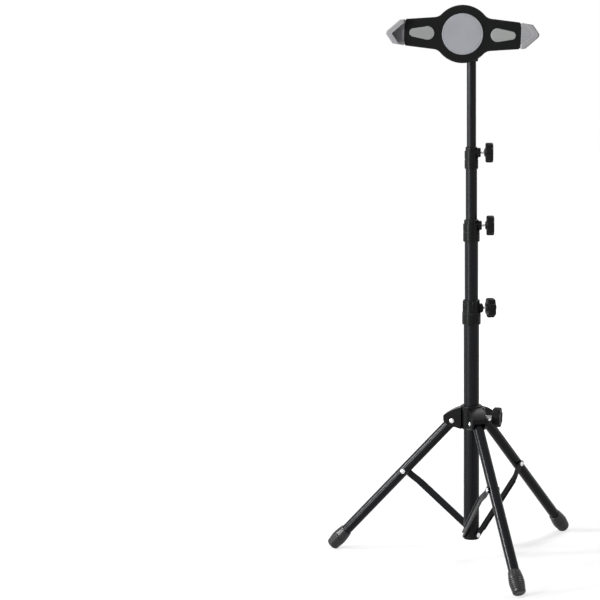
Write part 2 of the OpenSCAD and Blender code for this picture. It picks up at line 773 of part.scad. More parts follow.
// Four copies, one in each quarter of the case.
module four_ways() {
  children();
  mirror([1, 0, 0]) children();
  mirror([0, 1, 0]) children();
  rotate([0, 0, 180]) children();
}

// The case's outline: a round middle and two tapering arms with hollow roundings; grow moves it outwards.
module case_outline(grow) {
  r = disc_d / 2 + grow;
  end_x = case_end + grow;
  end_y = bar_end_w / 2 + grow;
  root_y = bar_root_w / 2 + grow;
  hollow = bar_fillet - grow;
  slope = (end_y - root_y) / (end_x - r);
  lean = sqrt(1 + slope * slope);
  level = root_y - slope * r;
  up = level + hollow * lean;
  reach = r + hollow;
  c_x = (-slope * up + sqrt(slope * slope * up * up - lean * lean * (up * up - reach * reach))) / (lean * lean);
  c_y = slope * c_x + up;
  circle(r = r, $fn = 128);
  four_ways() difference() {
    polygon([
      [0, 0],
      [c_x * r / reach, c_y * r / reach],
      [c_x, c_y],
      [c_x + hollow * slope / lean, c_y - hollow / lean],
      [end_x - 2, level + slope * (end_x - 2)],
      [end_x, end_y - 2],
      [end_x, 0]
    ]);
    translate([c_x, c_y]) circle(r = hollow + overcut);
  }
}

// The slot that both halves leave for the two sliding arms.
module arm_slot() {
  translate([-case_end - 5, -arm_w / 2 - side_gap, arm_back - side_gap / 2])
    cube([2 * case_end + 10, arm_w + 2 * side_gap, arm_t + side_gap]);
}

module holder_back() {
  color(black) on_holder() difference() {
    union() {
      difference() {
        union() {
          translate([0, 0, case_back + 1]) linear_extrude(case_back_t - 1) case_outline(0);
          translate([0, 0, case_back]) linear_extrude(1.5) case_outline(-0.8);
        }
        translate([0, 0, inner_back]) linear_extrude(20) case_outline(-case_wall);
      }
      translate([0, 0, case_back + 0.5]) cylinder(r = 9, h = inner_back + 2 - case_back - 0.5);
      for (way = [0, 180]) {
        rotate([0, 0, way]) translate([-spring_post_x, spring_y, inner_back - 0.5]) cylinder(r = 1.6, h = 6);
      }
      four_ways() translate([post_x, post_y, case_back + 0.5]) cylinder(r = 3.4, h = case_back_t - 0.5);
    }
    arm_slot();
    translate([0, 0, case_back - 1]) cylinder(r = swivel_d / 2 + running_gap, h = 12);
    four_ways() translate([post_x, post_y, case_back - 1]) union() {
      cylinder(r = 1.5 + side_gap / 2, h = 20);
      cylinder(r = 2.8 + side_gap / 2, h = 3.2);
    }
  }
}

module holder_front() {
  color(black) on_holder() difference() {
    union() {
      difference() {
        union() {
          translate([0, 0, case_split + 0.02]) linear_extrude(case_front_t - 1.02) case_outline(0);
          translate([0, 0, case_front - 1.5]) linear_extrude(1.5) case_outline(-0.8);
        }
        translate([0, 0, case_split - 1]) linear_extrude(inner_front - case_split + 1) case_outline(-case_wall);
      }
      four_ways() translate([post_x, post_y, case_split + 0.02]) cylinder(r = 3.4, h = case_front_t - 2);
    }
    arm_slot();
    four_ways() translate([post_x, post_y, case_split - 1]) cylinder(r = 1.5 + seat_gap, h = 5.2);
    translate([0, 0, case_front - 1]) cylinder(r = pad_d / 2 + 0.1, h = 5);
    translate([0, 0, case_front - 1]) linear_extrude(5) pad_shape(0.1);
    rotate([0, 0, 180]) translate([0, 0, case_front - 1]) linear_extrude(5) pad_shape(0.1);
  }
}

module holder_screws() {
  color(silver) on_holder() four_ways() translate([post_x, post_y, case_back]) union() {
    translate([0, 0, 0.4]) cylinder(r = 2.8, h = 1.7);
    translate([0, 0, 2]) cylinder(r = 1.5, h = case_back_t + 1.8);
  }
}

// A drop-shaped pad outline, wide towards the holder's centre.
module pad_shape(grow) {
  wide = drop_wide + grow;
  narrow = drop_narrow + grow;
  lean = asin((wide - narrow) / (drop_far - drop_near));
  translate([drop_near, 0]) circle(r = wide);
  translate([drop_far, 0]) circle(r = narrow);
  polygon([
    [drop_near + wide * sin(lean), wide * cos(lean)],
    [drop_far + narrow * sin(lean), narrow * cos(lean)],
    [drop_far + narrow * sin(lean), -narrow * cos(lean)],
    [drop_near + wide * sin(lean), -wide * cos(lean)]
  ]);
}

module pad(way) {
  color(grey) on_holder() rotate([0, 0, way]) union() {
    translate([0, 0, case_front - 1 + 0.02]) linear_extrude(pad_rise + 0.4) pad_shape(0);
    translate([0, 0, case_front]) linear_extrude(pad_rise) pad_shape(-0.6);
  }
}

module pad_left() pad(180);
module pad_right() pad(0);

// The round pad, with a shallow ring near its rim.
module center_pad() {
  r = pad_d / 2;
  color(grey) on_holder() rotate_extrude($fn = 128) polygon([
    [0, case_front - 1 + 0.02],
    [r, case_front - 1 + 0.02],
    [r, pad_front - 0.6],
    [r - 0.6, pad_front],
    [r - 2, pad_front],
    [r - 2.2, pad_front - 0.4],
    [r - 2.8, pad_front - 0.4],
    [r - 3, pad_front],
    [0, pad_front]
  ]);
}

// A tension spring from a post on the case to a post on its arm, across the middle.
module spring(way) {
  level = (arm_back + arm_front) / 2 + 0.6;
  loop = 2.4;
  wire = 0.45;
  color(silver) on_holder() rotate([0, 0, way]) translate([0, spring_y, level]) union() {
    translate([-spring_post_x, 0, 0]) rotate_extrude($fn = 32) translate([loop, 0]) circle(r = wire, $fn = 16);
    translate([arm_in + 3, 0, 0]) rotate_extrude($fn = 32) translate([loop, 0]) circle(r = wire, $fn = 16);
    rotate([0, 90, 0]) translate([0, 0, -spring_post_x + loop]) cylinder(r = wire, h = spring_post_x + arm_in + 3 - 2 * loop);
    rotate([0, 90, 0]) ring(2.1, wire + 0.3, -spring_post_x + 6, arm_in - 2);
    rotate([0, 90, 0]) translate([0, 0, -spring_post_x + 5.2]) cylinder(r = 2.1, h = 1);
    rotate([0, 90, 0]) translate([0, 0, arm_in - 2.2]) cylinder(r = 2.1, h = 1);
  }
}

module spring_left() spring(180);
module spring_right() spring(0);

// A flat sliding arm with a tongue for its grip and a lug for its spring.
module arm(way) {
  color(satin_black) on_holder() rotate([0, 0, way]) union() {
    translate([arm_in, -arm_w / 2, arm_back]) cube([grip_base - 0.1 - arm_in, arm_w, arm_t]);
    translate([grip_base - 1, -7, arm_back + 0.6]) cube([13, 14, arm_t - 1.2]);
    translate([arm_in, arm_w / 2 - 1, arm_back]) cube([6, 6, 1.6]);
    translate([arm_in + 3, spring_y, arm_back]) cylinder(r = 1.6, h = arm_t);
  }
}

module arm_left() arm(180);
module arm_right() arm(0);

// The corner's outline, inset from the outer faces and rounded; its point is on the bar's axis.
module corner(inset, round_r) {
  point = (inset + round_r) / sin(half_v);
  far = 60;
  touch_x = -point + round_r * sin(half_v);
  touch_y = round_r * cos(half_v);
  translate([grip_reach, 1.2]) rotate([0, 0, -grip_tilt]) union() {
    translate([-point, 0]) circle(r = round_r);
    polygon([
      [touch_x, touch_y],
      [touch_x - far * cos(half_v), touch_y + far * sin(half_v)],
      [touch_x - far * cos(half_v), -touch_y - far * sin(half_v)],
      [touch_x, -touch_y]
    ]);
  }
}

module grip_outline(inset) {
  intersection() {
    corner(inset, 5);
    polygon([
      [grip_base + inset, -grip_half_w + inset],
      [grip_reach + 5, -grip_half_w + inset + (grip_reach + 5 - grip_base) * grip_narrowing],
      [grip_reach + 5, grip_half_w - inset - (grip_reach + 5 - grip_base) * grip_narrowing],
      [grip_base + inset, grip_half_w - inset]
    ]);
  }
}

// A rubber corner grip: a block on the arm's tongue, a corner wall and a lip in front.
module grip(way) {
  block = arm_back - 0.8;
  color(grey) on_holder() rotate([0, 0, way]) difference() {
    union() {
      translate([0, 0, block + 0.8]) linear_extrude(grip_front - block - 1.6) grip_outline(0);
      translate([0, 0, block]) linear_extrude(grip_front - block) grip_outline(0.8);
    }
    translate([0, 0, grip_floor]) linear_extrude(grip_pocket) corner(grip_wall, 3);
    translate([0, 0, grip_floor]) linear_extrude(grip_pocket + 10) corner(grip_lip, 1.5);
    translate([grip_base - 2, -7 - seat_gap, arm_back + 0.6 - seat_gap])
      cube([14 + seat_gap, 14 + 2 * seat_gap, arm_t - 1.2 + 2 * seat_gap]);
  }
}

module grip_left() grip(180);
module grip_right() grip(0);

base_tube();
base_plug();
base_rivets();
collar_lower();
nut_lower();
knob_lower();
screw_lower();
hub();
hub_rivets();
hub_nut();
hub_knob();
hub_screw();
leg_front();
foot_front();
brace_front();
brace_rivet_front();
leg_right();
foot_right();
brace_right();
brace_rivet_right();
leg_left();
foot_left();
brace_left();
brace_rivet_left();
mast_tube_2();
guide_2();
collar_middle();
nut_middle();
knob_middle();
screw_middle();
mast_tube_3();
guide_3();
collar_upper();
nut_upper();
knob_upper();
screw_upper();
top_tube();
guide_top();
head_stem();
tilt_bolt();
tilt_nut();
tilt_washer();
swivel_bracket();
swivel_pin();
swivel_ring();
holder_back();
holder_front();
holder_screws();
center_pad();
pad_left();
pad_right();
spring_left();
spring_right();
arm_left();
grip_left();
arm_right();
grip_right();
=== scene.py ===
# Adjustable floor stand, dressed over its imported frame: a folding tripod, a telescoping mast and a sprung
# holder. Metres. The origin is on the floor under the mast, +Z is up, the holder faces -Y.
import json
import math

import bmesh
import bpy
from mathutils import Matrix, Vector
from mathutils.kdtree import KDTree

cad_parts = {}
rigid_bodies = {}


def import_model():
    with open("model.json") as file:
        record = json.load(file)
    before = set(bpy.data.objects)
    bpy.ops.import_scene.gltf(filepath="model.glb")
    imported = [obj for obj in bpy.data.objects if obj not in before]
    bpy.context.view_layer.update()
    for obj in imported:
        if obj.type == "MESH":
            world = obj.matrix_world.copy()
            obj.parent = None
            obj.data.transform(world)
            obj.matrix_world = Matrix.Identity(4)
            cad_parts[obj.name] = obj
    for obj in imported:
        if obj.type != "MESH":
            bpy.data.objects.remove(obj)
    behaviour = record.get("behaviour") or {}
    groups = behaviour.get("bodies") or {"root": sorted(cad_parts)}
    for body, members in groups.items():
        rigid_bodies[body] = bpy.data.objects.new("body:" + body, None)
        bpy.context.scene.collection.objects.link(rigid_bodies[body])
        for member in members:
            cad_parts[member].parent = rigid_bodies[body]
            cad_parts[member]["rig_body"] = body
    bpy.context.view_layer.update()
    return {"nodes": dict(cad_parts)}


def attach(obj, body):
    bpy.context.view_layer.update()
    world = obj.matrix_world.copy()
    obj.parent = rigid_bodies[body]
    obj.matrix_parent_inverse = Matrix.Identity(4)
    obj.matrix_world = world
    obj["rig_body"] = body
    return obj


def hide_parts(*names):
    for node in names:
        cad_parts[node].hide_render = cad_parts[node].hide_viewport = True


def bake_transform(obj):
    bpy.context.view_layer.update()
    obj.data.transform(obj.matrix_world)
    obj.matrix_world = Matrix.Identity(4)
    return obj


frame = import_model()
mm = 0.001

# Mast tubes: four drawn steel tubes, each sliding in the one below it, powder coated satin black.
# The coat of the three inner tubes is rubbed in fine lines where the clamps and bushes run on it.
tube_wall = 1.0 * mm
tube_end_round = 0.25 * mm
coat_dark = (0.0034, 0.0037, 0.0048)
coat_light = (0.0062, 0.0067, 0.0084)
coat_worn = (0.040, 0.041, 0.044)
wear_share = 0.6
peel_depth = 0.002 * mm
weld_gap = 0.001 * mm
eased_over = math.radians(25)
smooth_under = math.radians(35)
scene = bpy.context.scene


class Field:
    """A value that varies over a surface: arithmetic on it adds Math nodes."""

    def __init__(self, web, socket):
        self.web = web
        self.socket = socket

    def math(self, operation, first, second):
        return self.web.node("ShaderNodeMath", {"operation": operation}, {0: first, 1: second})

    def __add__(self, other):
        return self.math("ADD", self, other)

    def __sub__(self, other):
        return self.math("SUBTRACT", self, other)

    def __rsub__(self, other):
        return self.math("SUBTRACT", other, self)

    def __mul__(self, other):
        return self.math("MULTIPLY", self, other)

    __radd__ = __add__
    __rmul__ = __mul__


class Web:
    """The nodes of one material or of the world."""

    def __init__(self, tree):
        self.tree = tree

    def node(self, kind, settings, sockets, output=0):
        made = self.tree.nodes.new(kind)
        for name, value in settings.items():
            setattr(made, name, value)
        for name, value in sockets.items():
            self.plug(made.inputs[name], value)
        return Field(self, made.outputs[output])

    def plug(self, socket, value):
        if isinstance(value, Field):
            self.tree.links.new(value.socket, socket)
        else:
            socket.default_value = value

    def place(self):
        return self.node("ShaderNodeTexCoord", {}, {}, "Object")

    def height(self):
        return self.node("ShaderNodeSeparateXYZ", {}, {"Vector": self.place()}, "Z")

    def noise(self, scale, detail=2.0, stretch=(1, 1, 1)):
        spread = self.node("ShaderNodeMapping", {}, {"Vector": self.place(), "Scale": stretch})
        return self.node("ShaderNodeTexNoise", {}, {"Vector": spread, "Scale": scale, "Detail": detail})

    def ramp(self, value, low, high):
        sockets = {"Value": value, "From Min": low, "From Max": high}
        return self.node("ShaderNodeMapRange", {"interpolation_type": "SMOOTHSTEP"}, sockets)

    def colours(self, first, second, share):
        pair = [value if isinstance(value, Field) else (*value, 1) for value in (first, second)]
        return self.node("ShaderNodeMix", {"data_type": "RGBA"}, {0: share, 6: pair[0], 7: pair[1]}, 2)

    def edge_wear(self):
        """Patches of wear on the rounded edges of a piece, which ease() marks."""
        edges = self.node("ShaderNodeAttribute", {"attribute_name": "worn"}, {}, "Fac")
        return edges * self.ramp(self.noise(240, 4.0), 0.40, 0.62)

    def bump(self, height, depth):
        return self.node("ShaderNodeBump", {}, {"Height": height, "Distance": depth, "Strength": 1})


class Finish(Web):
    """A material, with the sockets of its principled shader set by name."""

    def __init__(self, name, sockets):
        self.material = bpy.data.materials.new(name)
        self.material.use_nodes = True
        super().__init__(self.material.node_tree)
        self.shader = self.tree.nodes["Principled BSDF"]
        self.set(sockets)

    def set(self, sockets):
        for name, value in sockets.items():
            self.plug(self.shader.inputs[name], value)


def powder_coat(name, rough, rub, along):
    """A satin coat with a faint orange peel; along is how close its rub lines lie in X, Y and Z."""
    coat = Finish(name, {"Specular IOR Level": 0.12})
    cloud = coat.noise(45)
    peel = coat.noise(1300, 1.0)
    lines = coat.ramp(coat.noise(1, 1.0, along), 0.52, 0.72)
    black = coat.colours(coat_dark, coat_light, cloud)
    coat.set({
        "Base Color": coat.colours(black, coat_worn, wear_share * coat.edge_wear()),
        "Roughness": rough + 0.08 * cloud + rub * lines,
        "Normal": coat.bump(peel + 0.3 * lines, peel_depth),
    })
    return coat


def spun(profile, steps=96):
    """A closed shell turned about Z from (radius, height) points, round a wall or from axis to axis."""
    work = bmesh.new()
    points = [work.verts.new((radius, 0, height)) for radius, height in profile]
    pairs = zip(points, points[1:] + points[:1])
    edges = [work.edges.new(pair) for pair in pairs if pair[0].co.x + pair[1].co.x > 0]
    bmesh.ops.spin(work, geom=points + edges, cent=(0, 0, 0), axis=(0, 0, 1), angle=2 * math.pi, steps=steps,
                   use_merge=True)
    bmesh.ops.remove_doubles(work, verts=work.verts, dist=weld_gap)
    bmesh.ops.recalc_face_normals(work, faces=work.faces)
    return work


def roomy(edges, reach):
    """The edges that no other one runs beside, nearer than a reach."""
    alike = 0.97
    aside = 0.15 * reach
    pace = 0.4 * reach
    marks = []
    for edge in edges:
        start, end = (vertex.co for vertex in edge.verts)
        steps = int((end - start).length / pace) + 2
        for step in range(steps):
            marks.append((edge, start.lerp(end, (step + 0.5) / steps), (end - start).normalized()))
    near = KDTree(len(marks))
    for number, (edge, spot, way) in enumerate(marks):
        near.insert(spot, number)
    near.balance()
    tight = set()
    for edge, spot, way in marks:
        for found, number, gap in near.find_range(spot, reach):
            other, other_spot, other_way = marks[number]
            offset = other_spot - spot
            apart = (offset - offset.dot(way) * way).length
            if other is not edge and abs(other_way.dot(way)) > alike and apart > aside:
                tight.add(edge)
    return [edge for edge in edges if edge not in tight]


def ease(work, width, segments=3):
    """Rounds each sharp edge that has room for it, and marks the rounding as worn."""
    worn = work.faces.layers.float.get("worn") or work.faces.layers.float.new("worn")
    sharp = [edge for edge in work.edges if edge.calc_face_angle(0) > eased_over]
    two_wide = 2.1 * width
    rounding = bmesh.ops.bevel(work, geom=roomy(sharp, two_wide), offset=width, offset_type="OFFSET",
                               segments=segments, profile=0.5, affect="EDGES", clamp_overlap=False,
                               material=-1)
    for face in rounding["faces"]:
        face[worn] = 1
    return work


def put(work, place):
    """Moves a shape from its own frame to where it sits on the stand."""
    bmesh.ops.transform(work, matrix=place, verts=work.verts)
    return work


def shown(node, work, finish):
    """Shows a shape in place of a CAD node."""
    mesh = bpy.data.meshes.new("dressed_" + node)
    work.to_mesh(mesh)
    work.free()
    mesh.materials.append(finish.material)
    mesh.shade_smooth()
    mesh.set_sharp_from_angle(angle=smooth_under)
    piece = bpy.data.objects.new(mesh.name, mesh)
    scene.collection.objects.link(piece)
    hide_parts(node)
    return piece


def dress(node, work, finish):
    """Shows a shape in place of a CAD node, on the node's own body."""
    piece = shown(node, work, finish)
    piece.modifiers.new("flat_faces_stay_flat", "WEIGHTED_NORMAL").keep_sharp = True
    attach(piece, frame["nodes"][node]["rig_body"])


def span(node, place=Matrix()):
    """Lowest and highest corner of a CAD node in the frame of a piece."""
    back = place.inverted()
    corners = [back @ vertex.co for vertex in frame["nodes"][node].data.vertices]
    return [Vector(map(pick, zip(*corners))) for pick in (min, max)]


def tube(low, high, radius, wall):
    profile = [(radius - wall, low), (radius, low), (radius, high), (radius - wall, high)]
    return ease(spun(profile), tube_end_round)


outer_coat = powder_coat("outer_tube_coat", 0.29, 0.05, (900, 900, 14))
rubbed_coat = powder_coat("sliding_tube_coat", 0.27, 0.12, (1500, 1500, 9))
for node in ("base_tube", "mast_tube_2", "mast_tube_3", "top_tube"):
    low, high = span(node)
    coat = outer_coat if node == "base_tube" else rubbed_coat
    dress(node, tube(low.z, high.z, high.x, tube_wall), coat)

# Base plug: a moulded plastic cap pushed into the lower end of the base tube, with a dished underside.
# Three guide bushes of pale plastic close the lower ends of the other tubes and run in the tube outside.
plastic_dark = (0.0036, 0.0042, 0.0038)
plastic_light = (0.0060, 0.0068, 0.0062)
plastic_worn = (0.040, 0.041, 0.041)
pale_dark = (0.52, 0.51, 0.48)
pale_light = (0.60, 0.59, 0.56)
pale_worn = (0.66, 0.65, 0.62)
cad_weld_gap = 0.002 * mm
flat_within = math.radians(0.5)
spigot_step = 1.3 * mm
plug_chamfer = 0.7 * mm
plug_edge = 0.2 * mm
guide_edge = 0.3 * mm
dish_r = 7 * mm
dish_depth = 0.9 * mm


def moulded_plastic(name, dark, light, rubbed, shine, grain_depth):
    plastic = Finish(name, {"Specular IOR Level": 0.09})
    cloud = plastic.noise(70)
    grain = plastic.noise(2600, 3.0)
    worn = plastic.edge_wear()
    colour = plastic.colours(dark, light, cloud)
    plastic.set({
        "Base Color": plastic.colours(colour, rubbed, wear_share * worn),
        "Roughness": 1 - shine + 0.14 * (grain - 0.5) - 0.1 * worn,
        "Normal": plastic.bump(grain, grain_depth),
    })
    return plastic


def merged(node):
    """A copy of a CAD node's mesh, with its loose triangles merged."""
    work = bmesh.new()
    work.from_mesh(frame["nodes"][node].data)
    bmesh.ops.remove_doubles(work, verts=work.verts, dist=cad_weld_gap)
    return work


def joined(work):
    """Joins the triangles that lie flat beside each other into whole faces."""
    bmesh.ops.dissolve_limit(work, angle_limit=flat_within, verts=work.verts, edges=work.edges)
    return work


def copied(node):
    """A copy of a CAD node in whole faces."""
    return joined(merged(node))


black_plastic = moulded_plastic("grained_black", plastic_dark, plastic_light, plastic_worn, 0.50, 0.03 * mm)
satin_plastic = moulded_plastic("satin_black", plastic_dark, plastic_light, plastic_worn, 0.70, 0.005 * mm)
pale_plastic = moulded_plastic("guide_plastic", pale_dark, pale_light, pale_worn, 0.55, 0.01 * mm)
low, high = span("base_plug")
flange_top = span("base_tube")[0].z
spigot_r = high.x - spigot_step
plug_profile = [
    (0, low.z + dish_depth), (dish_r, low.z + dish_depth), (dish_r + dish_depth, low.z),
    (high.x - plug_chamfer, low.z), (high.x, low.z + plug_chamfer), (high.x, flange_top),
    (spigot_r, flange_top), (spigot_r, high.z), (0, high.z),
]
dress("base_plug", ease(spun(plug_profile), plug_edge, 2), black_plastic)
for node in ("guide_2", "guide_3", "guide_top"):
    dress(node, ease(copied(node), guide_edge, 2), pale_plastic)

# Legs: three round steel tubes with the mast's coat, hung on pins in the hub, each with its lower end pushed
# into a foot. The pin and the brace's rivet cover the holes drilled for them, so the holes aren't cut here.
leg_angle = math.radians(43)
leg_pin = Vector((26 * mm, 0, 198 * mm))
leg_wall = 1.2 * mm
legs = {"front": -72, "right": 48, "left": 168}


def turned(degrees, axis):
    return Matrix.Rotation(math.radians(degrees), 4, axis)


def down_leg(side):
    """A leg's frame: Z runs from its pin down to its foot."""
    lean = Matrix.Rotation(math.pi - leg_angle, 4, "Y")
    return turned(legs[side], "Z") @ Matrix.Translation(leg_pin) @ lean


def across_leg(side, radius, height):
    """The frame of a rivet through a leg: Z runs across the leg at a radius and a height."""
    return turned(legs[side], "Z") @ Matrix.Translation((radius, 0, height)) @ turned(90, "X")


leg_coat = powder_coat("leg_coat", 0.19, 0.04, (120, 120, 120))
for side in legs:
    low, high = span("leg_" + side, down_leg(side))
    dress("leg_" + side, put(tube(low.z, high.z, high.x, leg_wall), down_leg(side)), leg_coat)

# Feet: hollow rubber bulbs pushed over the legs, ringed with low ribs and worn flat where they stand.
# Floor dust has greyed the rubber near the ground.
foot_len = 33 * mm
foot_r = 10.75 * mm
foot_end_r = 9.2 * mm
foot_mouth_r = 8.64 * mm
foot_bore_r = 7.54 * mm
foot_edge_r = 3.5 * mm
foot_edge_center = foot_end_r - foot_edge_r
foot_belly = 0.55 * foot_len
foot_cut = 0.5 * mm
foot_lip = 0.5 * mm
foot_steps = 120
foot_edge_steps = 12
rib_count = 5
rib_pitch = 2.9 * mm
rib_depth = 0.6 * mm
ribs_from = 0.6 * foot_len - rib_count / 2 * rib_pitch
rubber_black = (0.0070, 0.0072, 0.0082)
rubber_dusty = (0.04, 0.038, 0.036)
dust_top = 9 * mm
dust_full = 0.5 * mm
dust_ragged = 6 * mm


def foot_rubber():
    rubber = Finish("foot_rubber", {"Specular IOR Level": 0.36})
    cloud = rubber.noise(160, 4.0)
    dust = rubber.ramp(rubber.height() + dust_ragged * (cloud - 0.5), dust_top, dust_full)
    rubber.set({
        "Base Color": rubber.colours(rubber_black, rubber_dusty, 0.45 * dust),
        "Roughness": 0.24 + 0.10 * cloud + 0.3 * dust,
        "Normal": rubber.bump(rubber.noise(1900, 3.0), 0.004 * mm),
    })
    return rubber


def foot_wall(along):
    """Radius of a foot at a distance from its mouth: it swells to its belly and narrows to its end."""
    if along < foot_belly:
        return foot_mouth_r + (foot_r - foot_mouth_r) * math.sin(math.pi / 2 * along / foot_belly)
    return foot_r + (foot_end_r - foot_r) * (along - foot_belly) / (foot_len - foot_edge_r - foot_belly)


def foot_groove(along):
    """Depth of the groove between two ribs at a distance from a foot's mouth."""
    phase = (along - ribs_from) / rib_pitch
    if not -0.5 < phase < rib_count + 0.5:
        return 0
    return rib_depth * (0.5 + 0.5 * math.cos(2 * math.pi * phase)) ** 2


rubber = foot_rubber()
foot_drop = leg_pin.z + foot_cut - foot_edge_r - foot_edge_center * math.sin(leg_angle)
floor_reach = foot_drop / math.cos(leg_angle)
foot_mouth = floor_reach + foot_edge_r - foot_len
for side in legs:
    leg_end = span("leg_" + side, down_leg(side))[1].z
    profile = [
        (0, leg_end), (foot_bore_r, leg_end),
        (foot_bore_r, foot_mouth), (foot_mouth_r - foot_lip, foot_mouth),
    ]
    for step in range(1, foot_steps):
        along = (floor_reach - foot_mouth) * step / foot_steps
        profile.append((foot_wall(along) - foot_groove(along), foot_mouth + along))
    for step in range(foot_edge_steps + 1):
        turn = math.pi / 2 * step / foot_edge_steps
        out = foot_edge_center + foot_edge_r * math.cos(turn)
        profile.append((out, floor_reach + foot_edge_r * math.sin(turn)))
    profile.append((0, floor_reach + foot_edge_r))
    work = put(spun(profile), down_leg(side))
    cut = bmesh.ops.bisect_plane(work, geom=work.verts[:] + work.edges[:] + work.faces[:], dist=weld_gap,
                                 plane_co=(0, 0, 0), plane_no=(0, 0, -1), clear_outer=True)
    rim = [part for part in cut["geom_cut"] if isinstance(part, bmesh.types.BMEdge)]
    bmesh.ops.holes_fill(work, edges=rim)
    dress("foot_" + side, work, rubber)

# Braces: pressed steel straps with turned-up edges, coated with the tubes. Each runs from a rivet low on
# the base tube to a rivet through its leg. The rivets are plated steel with round heads, dimpled by the
# setting tool.
strap_edge = 0.35 * mm
rivet_dimple_r = 1.0 * mm
rivet_dimple_floor_r = 0.7 * rivet_dimple_r
rivet_dimple = 0.4 * mm
rivet_steps = 48
dome_steps = 8
dome_from = math.radians(18)
dome_sweep = math.radians(62)
rivet_r = 1.75 * mm
rivet_head_r = 3.4 * mm
rivet_head_h = 1.5 * mm
base_rivet_from = 5 * mm
brace_pin_z = 34 * mm
brace_on_leg = 106 * mm


def plated_steel(name, dark, light, rough):
    steel = Finish(name, {"Metallic": 1.0})
    cloud = steel.noise(420, 3.0)
    steel.set({
        "Base Color": steel.colours(dark, light, cloud),
        "Roughness": rough + 0.16 * (cloud - 0.5),
        "Normal": steel.bump(steel.noise(1500, 2.0), 0.01 * mm),
    })
    return steel


def rivet_head(base, way):
    """A domed head as (radius, height) points from the rim to the dimple; way is 1 up or -1 down."""
    points = []
    for step in range(dome_steps):
        turn = dome_from + dome_sweep * step / dome_steps
        out = rivet_head_r * math.cos(turn) / math.cos(dome_from)
        points.append((out, base + way * rivet_head_h * math.sin(turn)))
    points.append((rivet_dimple_r, base + way * rivet_head_h))
    points.append((rivet_dimple_floor_r, base + way * (rivet_head_h - rivet_dimple)))
    points.append((0, base + way * (rivet_head_h - rivet_dimple)))
    return points


def rivet(low, high, shank_r, both):
    """A rivet along Z with a head at its top, and at its bottom too if both ends show."""
    under = high - rivet_head_h
    shank = [(0, low), (shank_r, low)]
    if both:
        over = low + rivet_head_h
        shank = rivet_head(over, -1)[::-1] + [(rivet_head_r, over), (shank_r, over)]
    return spun(shank + [(shank_r, under), (rivet_head_r, under)] + rivet_head(under, 1), rivet_steps)


rivet_steel = plated_steel("rivet_steel", (0.58, 0.58, 0.60), (0.72, 0.72, 0.74), 0.27)
brace_rivet_x = leg_pin.x + brace_on_leg * math.sin(leg_angle)
brace_rivet_z = leg_pin.z - brace_on_leg * math.cos(leg_angle)
for side in legs:
    dress("brace_" + side, ease(copied("brace_" + side), strap_edge, 2), leg_coat)
    place = across_leg(side, brace_rivet_x, brace_rivet_z)
    low, high = span("brace_rivet_" + side, place)
    work = put(rivet(low.z, high.z, rivet_r, True), place)
    dress("brace_rivet_" + side, work, rivet_steel)


def gathered(works):
    """Several shapes in one mesh."""
    whole = bmesh.new()
    for work in works:
        part = bpy.data.meshes.new("part")
        work.to_mesh(part)
        work.free()
        whole.from_mesh(part)
        bpy.data.meshes.remove(part)
    return whole


base_rivets = []
for side in legs:
    place = across_leg(side, 0, brace_pin_z)
    high = span("base_rivets", place)[1]
    base_rivets.append(put(rivet(base_rivet_from, high.z, rivet_r, False), place))
dress("base_rivets", gathered(base_rivets), rivet_steel)

# Hub: a moulded plastic runner on the base tube, with a hood over each leg and a boss for its clamp screw.
# Three plated pins through the hoods carry the legs.
hub_edge = 0.3 * mm
pin_r = 2.5 * mm
hood_half = 11 * mm
dress("hub", ease(copied("hub"), hub_edge), satin_plastic)
hub_pins = []
for side in legs:
    place = across_leg(side, leg_pin.x, leg_pin.z)
    reach = hood_half + rivet_head_h
    hub_pins.append(put(rivet(-reach, reach, pin_r, True), place))
dress("hub_rivets", gathered(hub_pins), rivet_steel)

# Clamps: one on the hub and one on each collar. A plated screw is moulded into a lobed plastic knob, runs
# through a brass nut caught in the boss and bears on the tube inside.
thread_pitch = 0.8 * mm
thread_depth = 0.45 * mm
thread_root = 0.1 * mm
thread_steps = 24
thread_flank = 0.42 * thread_pitch
thread_crest = 0.2 * thread_flank
shank_steps = 32
screw_tip = 0.5 * mm
nut_edge = 0.3 * mm
knob_lobes = 7
knob_steps = 20 * knob_lobes
scallop_r = 0.32
scallop_at = 1.17
scallop_softening = (-3, -1.5, 0, 1.5, 3)
knob_r = 14 * mm
knob_neck = 1.6 * mm
nut_brass = plated_steel("nut_brass", (0.60, 0.44, 0.19), (0.72, 0.55, 0.26), 0.32)
screw_steel = plated_steel("screw_steel", (0.55, 0.55, 0.57), (0.72, 0.72, 0.74), 0.3)
clamps = (
    ("hub_knob", "hub_screw", "hub_nut"),
    ("knob_lower", "screw_lower", "nut_lower"),
    ("knob_middle", "screw_middle", "nut_middle"),
    ("knob_upper", "screw_upper", "nut_upper"),
)


def out_along(node):
    """A clamp's frame: Z runs out from the mast axis through the middle of its screw."""
    low, high = span(node)
    middle = (low + high) / 2
    turn = math.atan2(middle.y, middle.x)
    return Matrix.Translation((0, 0, middle.z)) @ Matrix.Rotation(turn, 4, "Z") @ turned(90, "Y")


